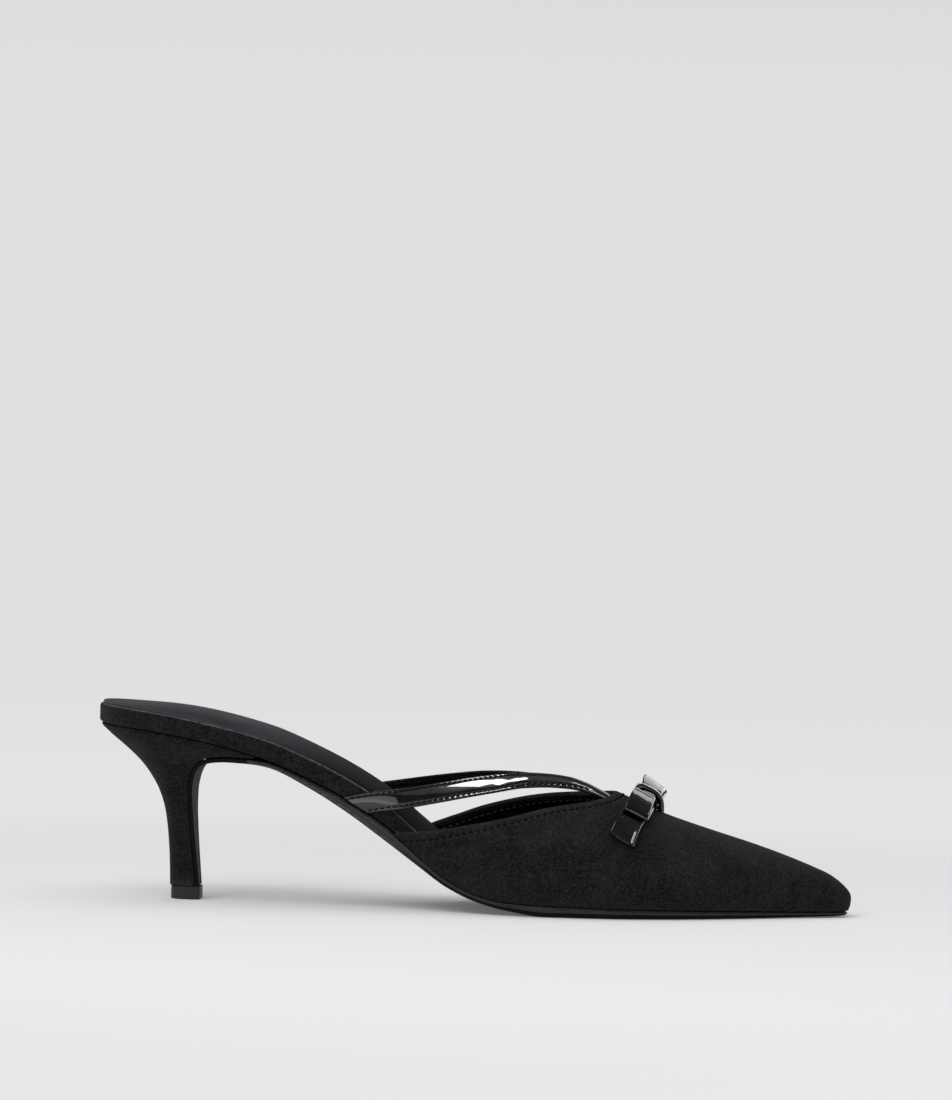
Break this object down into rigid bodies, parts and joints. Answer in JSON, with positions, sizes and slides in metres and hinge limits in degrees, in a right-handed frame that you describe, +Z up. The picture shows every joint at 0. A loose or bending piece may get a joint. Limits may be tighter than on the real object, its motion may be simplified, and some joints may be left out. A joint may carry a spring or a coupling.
{
  "type": "pump",
  "caption": "Backless heeled pump with a pointed closed toe, forked instep strap, flat ribbon bow, thin sole and slim curved heel.",
  "frame": {"origin": "centre of the shoe's bounding box on the ground under it", "axes": "+X towards the toe, +Y to the inner side of the foot, +Z up from the ground"},
  "size_m": [0.25, 0.0787, 0.0654],
  "materials": {
    "charcoal_suede": "fine short nap, matt charcoal black",
    "black_microsuede": "close matt nap over a wrapped core, slightly worn at its edges",
    "black_patent": "mirror-gloss coated leather",
    "sock_lining": "smooth satin lining leather, blue-grey black",
    "sole_leather": "satin waxed sole edge and tread",
    "heel_rubber": "matt dark grey hard rubber"
  },
  "bodies": {
    "root": {"outsole": "sole_leather", "heel": "black_microsuede", "top_piece": "heel_rubber", "insole": "black_microsuede", "sock": "sock_lining", "vamp": "charcoal_suede", "instep_strap": "black_patent", "bow_loop_outer": "black_patent", "bow_loop_inner": "black_patent", "bow_tails": "black_patent", "bow_knot": "black_patent"}
  },
  "joints": []
}
